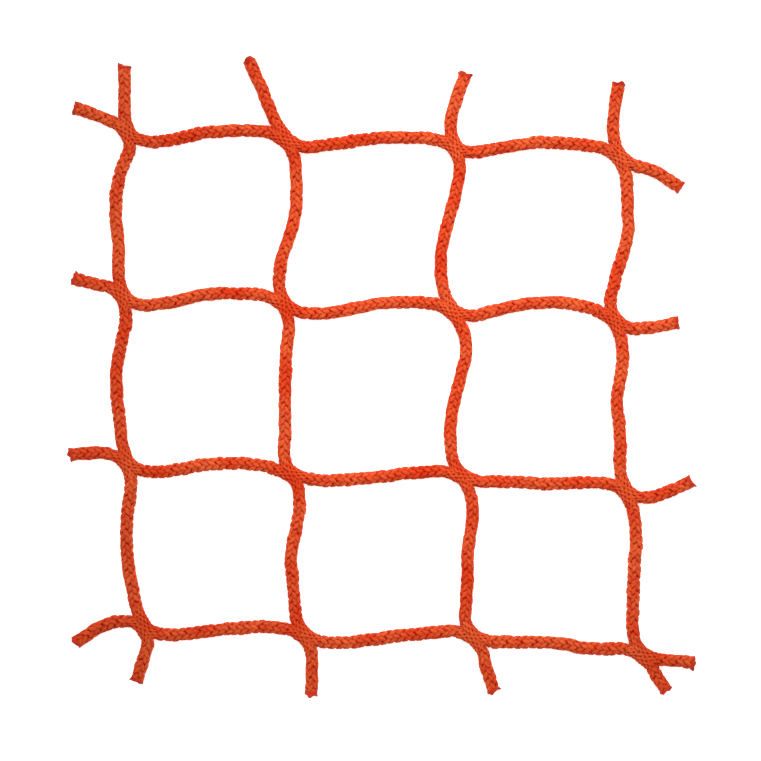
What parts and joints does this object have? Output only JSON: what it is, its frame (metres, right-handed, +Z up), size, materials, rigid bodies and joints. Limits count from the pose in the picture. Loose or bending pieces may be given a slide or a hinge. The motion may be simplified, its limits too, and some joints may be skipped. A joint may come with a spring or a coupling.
{
  "type": "knotless climbing net",
  "caption": "Open square mesh of thick braided cord, knotless: cords step across it and are braided together side by side where rows meet columns, with loose heat-sealed ends all round.",
  "frame": {"origin": "middle of the net's outline, on the surface it lies on", "axes": "+X along the rows, +Y up the columns, +Z up from the surface"},
  "size_m": [0.3788, 0.3854, 0.0076],
  "materials": {
    "braided_cord": "braided polypropylene, satin sheen",
    "sealed_end": "melted and set, slightly glossy"
  },
  "bodies": {
    "strip_1": {"left_cord_1_strip_1": "braided_cord", "left_cord_2_strip_1": "braided_cord", "left_cord_3_strip_1": "braided_cord", "left_cord_4_strip_1": "braided_cord", "top_cord_1_strip_1": "braided_cord", "sealed_ends_strip_1": "sealed_end"},
    "strip_2": {"left_cord_1_strip_2": "braided_cord", "left_cord_2_strip_2": "braided_cord", "left_cord_3_strip_2": "braided_cord", "top_cord_1_strip_2": "braided_cord", "top_cord_2_strip_2": "braided_cord", "sealed_ends_strip_2": "sealed_end"},
    "strip_3": {"left_cord_1_strip_3": "braided_cord", "left_cord_2_strip_3": "braided_cord", "top_cord_1_strip_3": "braided_cord", "top_cord_2_strip_3": "braided_cord", "top_cord_3_strip_3": "braided_cord", "sealed_ends_strip_3": "sealed_end"},
    "strip_4": {"left_cord_1_strip_4": "braided_cord", "top_cord_1_strip_4": "braided_cord", "top_cord_2_strip_4": "braided_cord", "top_cord_3_strip_4": "braided_cord", "top_cord_4_strip_4": "braided_cord", "sealed_ends_strip_4": "sealed_end"}
  },
  "joints": [
    {"name": "fold_1", "type": "hinge", "parent": "strip_1", "child": "strip_2", "pos_m": [-0.1041, 0, 0.0038], "axis": [0, -1, 0], "range_deg": [0, 90]},
    {"name": "fold_2", "type": "hinge", "parent": "strip_2", "child": "strip_3", "pos_m": [-0.0061, 0, 0.0038], "axis": [0, -1, 0], "range_deg": [0, 90]},
    {"name": "fold_3", "type": "hinge", "parent": "strip_3", "child": "strip_4", "pos_m": [0.0959, 0, 0.0038], "axis": [0, -1, 0], "range_deg": [0, 90]}
  ]
}
